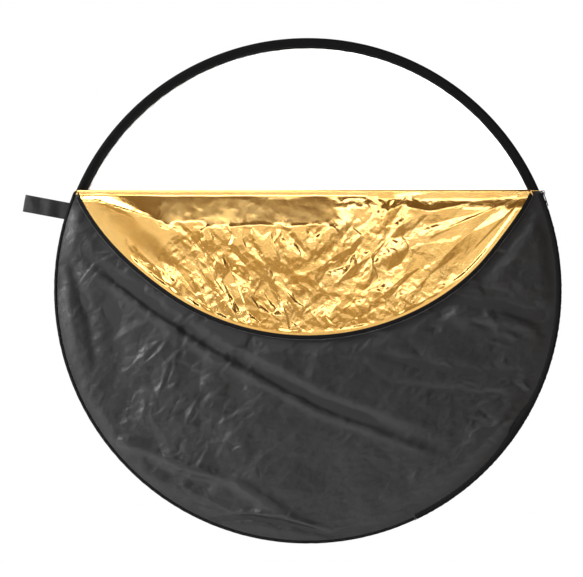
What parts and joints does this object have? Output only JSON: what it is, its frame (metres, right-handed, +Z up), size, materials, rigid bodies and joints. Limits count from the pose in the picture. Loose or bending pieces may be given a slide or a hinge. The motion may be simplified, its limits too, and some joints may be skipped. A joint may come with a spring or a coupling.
{
  "type": "collapsible reflector disc",
  "caption": "Round collapsible photographic reflector: diffuser on a sprung steel hoop in a zip-on reversible cover, its flaps folded down to show gold in front and silver behind.",
  "frame": {"origin": "centre of the hoop, in the disc's middle plane, where a holder's clamps are centred", "axes": "-Y out of the front face, +Z up the disc with the folds across it near the top, +X to the right seen from the front, where the zip slider is; the hanging loop is at the left"},
  "size_m": [1.1718, 0.0332, 1.098],
  "materials": {
    "spring_steel": "blued spring steel, satin",
    "casing_black": "black woven polyester tape, matt",
    "diffuser_white": "translucent white ripstop",
    "nylon_black": "black nylon taffeta, soft sheen",
    "foil_gold": "gold metallised foil cloth, crinkled",
    "foil_silver": "silver metallised foil cloth, crinkled",
    "nylon_white": "white nylon taffeta",
    "zip_tape": "black knitted zip tape, matt",
    "zip_coil": "black nylon coil",
    "zip_metal": "black lacquered zinc",
    "loop_nylon": "black nylon cloth, stitched edges"
  },
  "bodies": {
    "disc": {"hoop_band": "spring_steel", "hoop_ferrule": "spring_steel", "rim_casing": "casing_black", "diffuser_cloth": "diffuser_white", "front_panel_black": "nylon_black", "front_panel_gold": "foil_gold", "rear_panel_white": "nylon_white", "rear_panel_silver": "foil_silver", "seam_binding": "casing_black", "zip_tape_front": "zip_tape", "zip_tape_rear": "zip_tape", "zip_coil_front": "zip_coil", "zip_coil_rear": "zip_coil", "zip_bottom_stop": "zip_metal"},
    "front_flap": {"front_flap_black": "nylon_black", "front_flap_gold": "foil_gold", "front_flap_zip_tape": "zip_tape", "front_flap_zip_coil": "zip_coil", "front_flap_top_stop": "zip_metal"},
    "rear_flap": {"rear_flap_white": "nylon_white", "rear_flap_silver": "foil_silver", "rear_flap_zip_tape": "zip_tape", "rear_flap_zip_coil": "zip_coil", "rear_flap_top_stop": "zip_metal"},
    "slider": {"zip_slider": "zip_metal"},
    "pull": {"zip_pull": "zip_metal"},
    "loop": {"hanging_loop": "loop_nylon"}
  },
  "joints": [
    {"name": "front_fold", "type": "hinge", "parent": "disc", "child": "front_flap", "pos_m": [0, -0.0115, 0.2163], "axis": [-1, 0, 0], "range_deg": [0, 180]},
    {"name": "rear_fold", "type": "hinge", "parent": "disc", "child": "rear_flap", "pos_m": [0, 0.0115, 0.2163], "axis": [1, 0, 0], "range_deg": [0, 180]},
    {"name": "slider_run", "type": "hinge", "parent": "disc", "child": "slider", "pos_m": [0, 0, 0], "axis": [0, -1, 0], "range_deg": [0, 133]},
    {"name": "pull_pivot", "type": "hinge", "parent": "slider", "child": "pull", "pos_m": [0.51262, 0, 0.21233], "axis": [0, -1, 0], "range_deg": [0, 150]},
    {"name": "loop_seam", "type": "hinge", "parent": "disc", "child": "loop", "pos_m": [-0.5263, 0, 0.17202], "axis": [0.184, 0, 0.9829], "range_deg": [-60, 60]}
  ]
}
